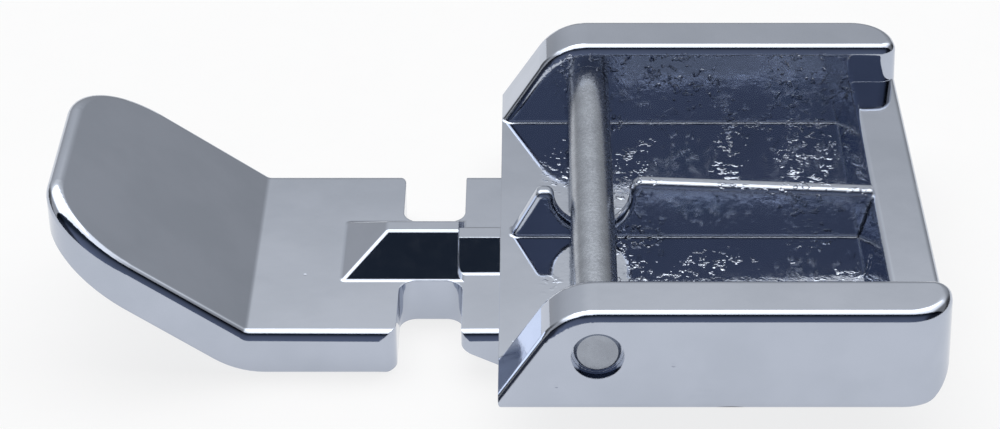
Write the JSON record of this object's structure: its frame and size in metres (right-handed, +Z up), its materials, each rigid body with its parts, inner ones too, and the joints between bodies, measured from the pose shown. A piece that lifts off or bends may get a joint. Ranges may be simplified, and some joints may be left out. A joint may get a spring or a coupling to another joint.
{
  "type": "clip-on zipper presser foot",
  "caption": "Narrow clip-on zipper presser foot: turned-up toe, sole plate notched on both sides for the needle, and a raised tray with a cross pin for the machine's ankle.",
  "frame": {"origin": "on the sole plane, straight below the middle of the cross pin", "axes": "+X to the heel, away from the toe; +Y along the cross pin; +Z up, away from the sole"},
  "size_m": [0.0396, 0.026, 0.008],
  "materials": {
    "plated_casting": "bright chrome plating over a die casting",
    "pin_steel": "satin ground steel"
  },
  "bodies": {
    "root": {"foot_body": "plated_casting", "cross_pin": "pin_steel"}
  },
  "joints": []
}
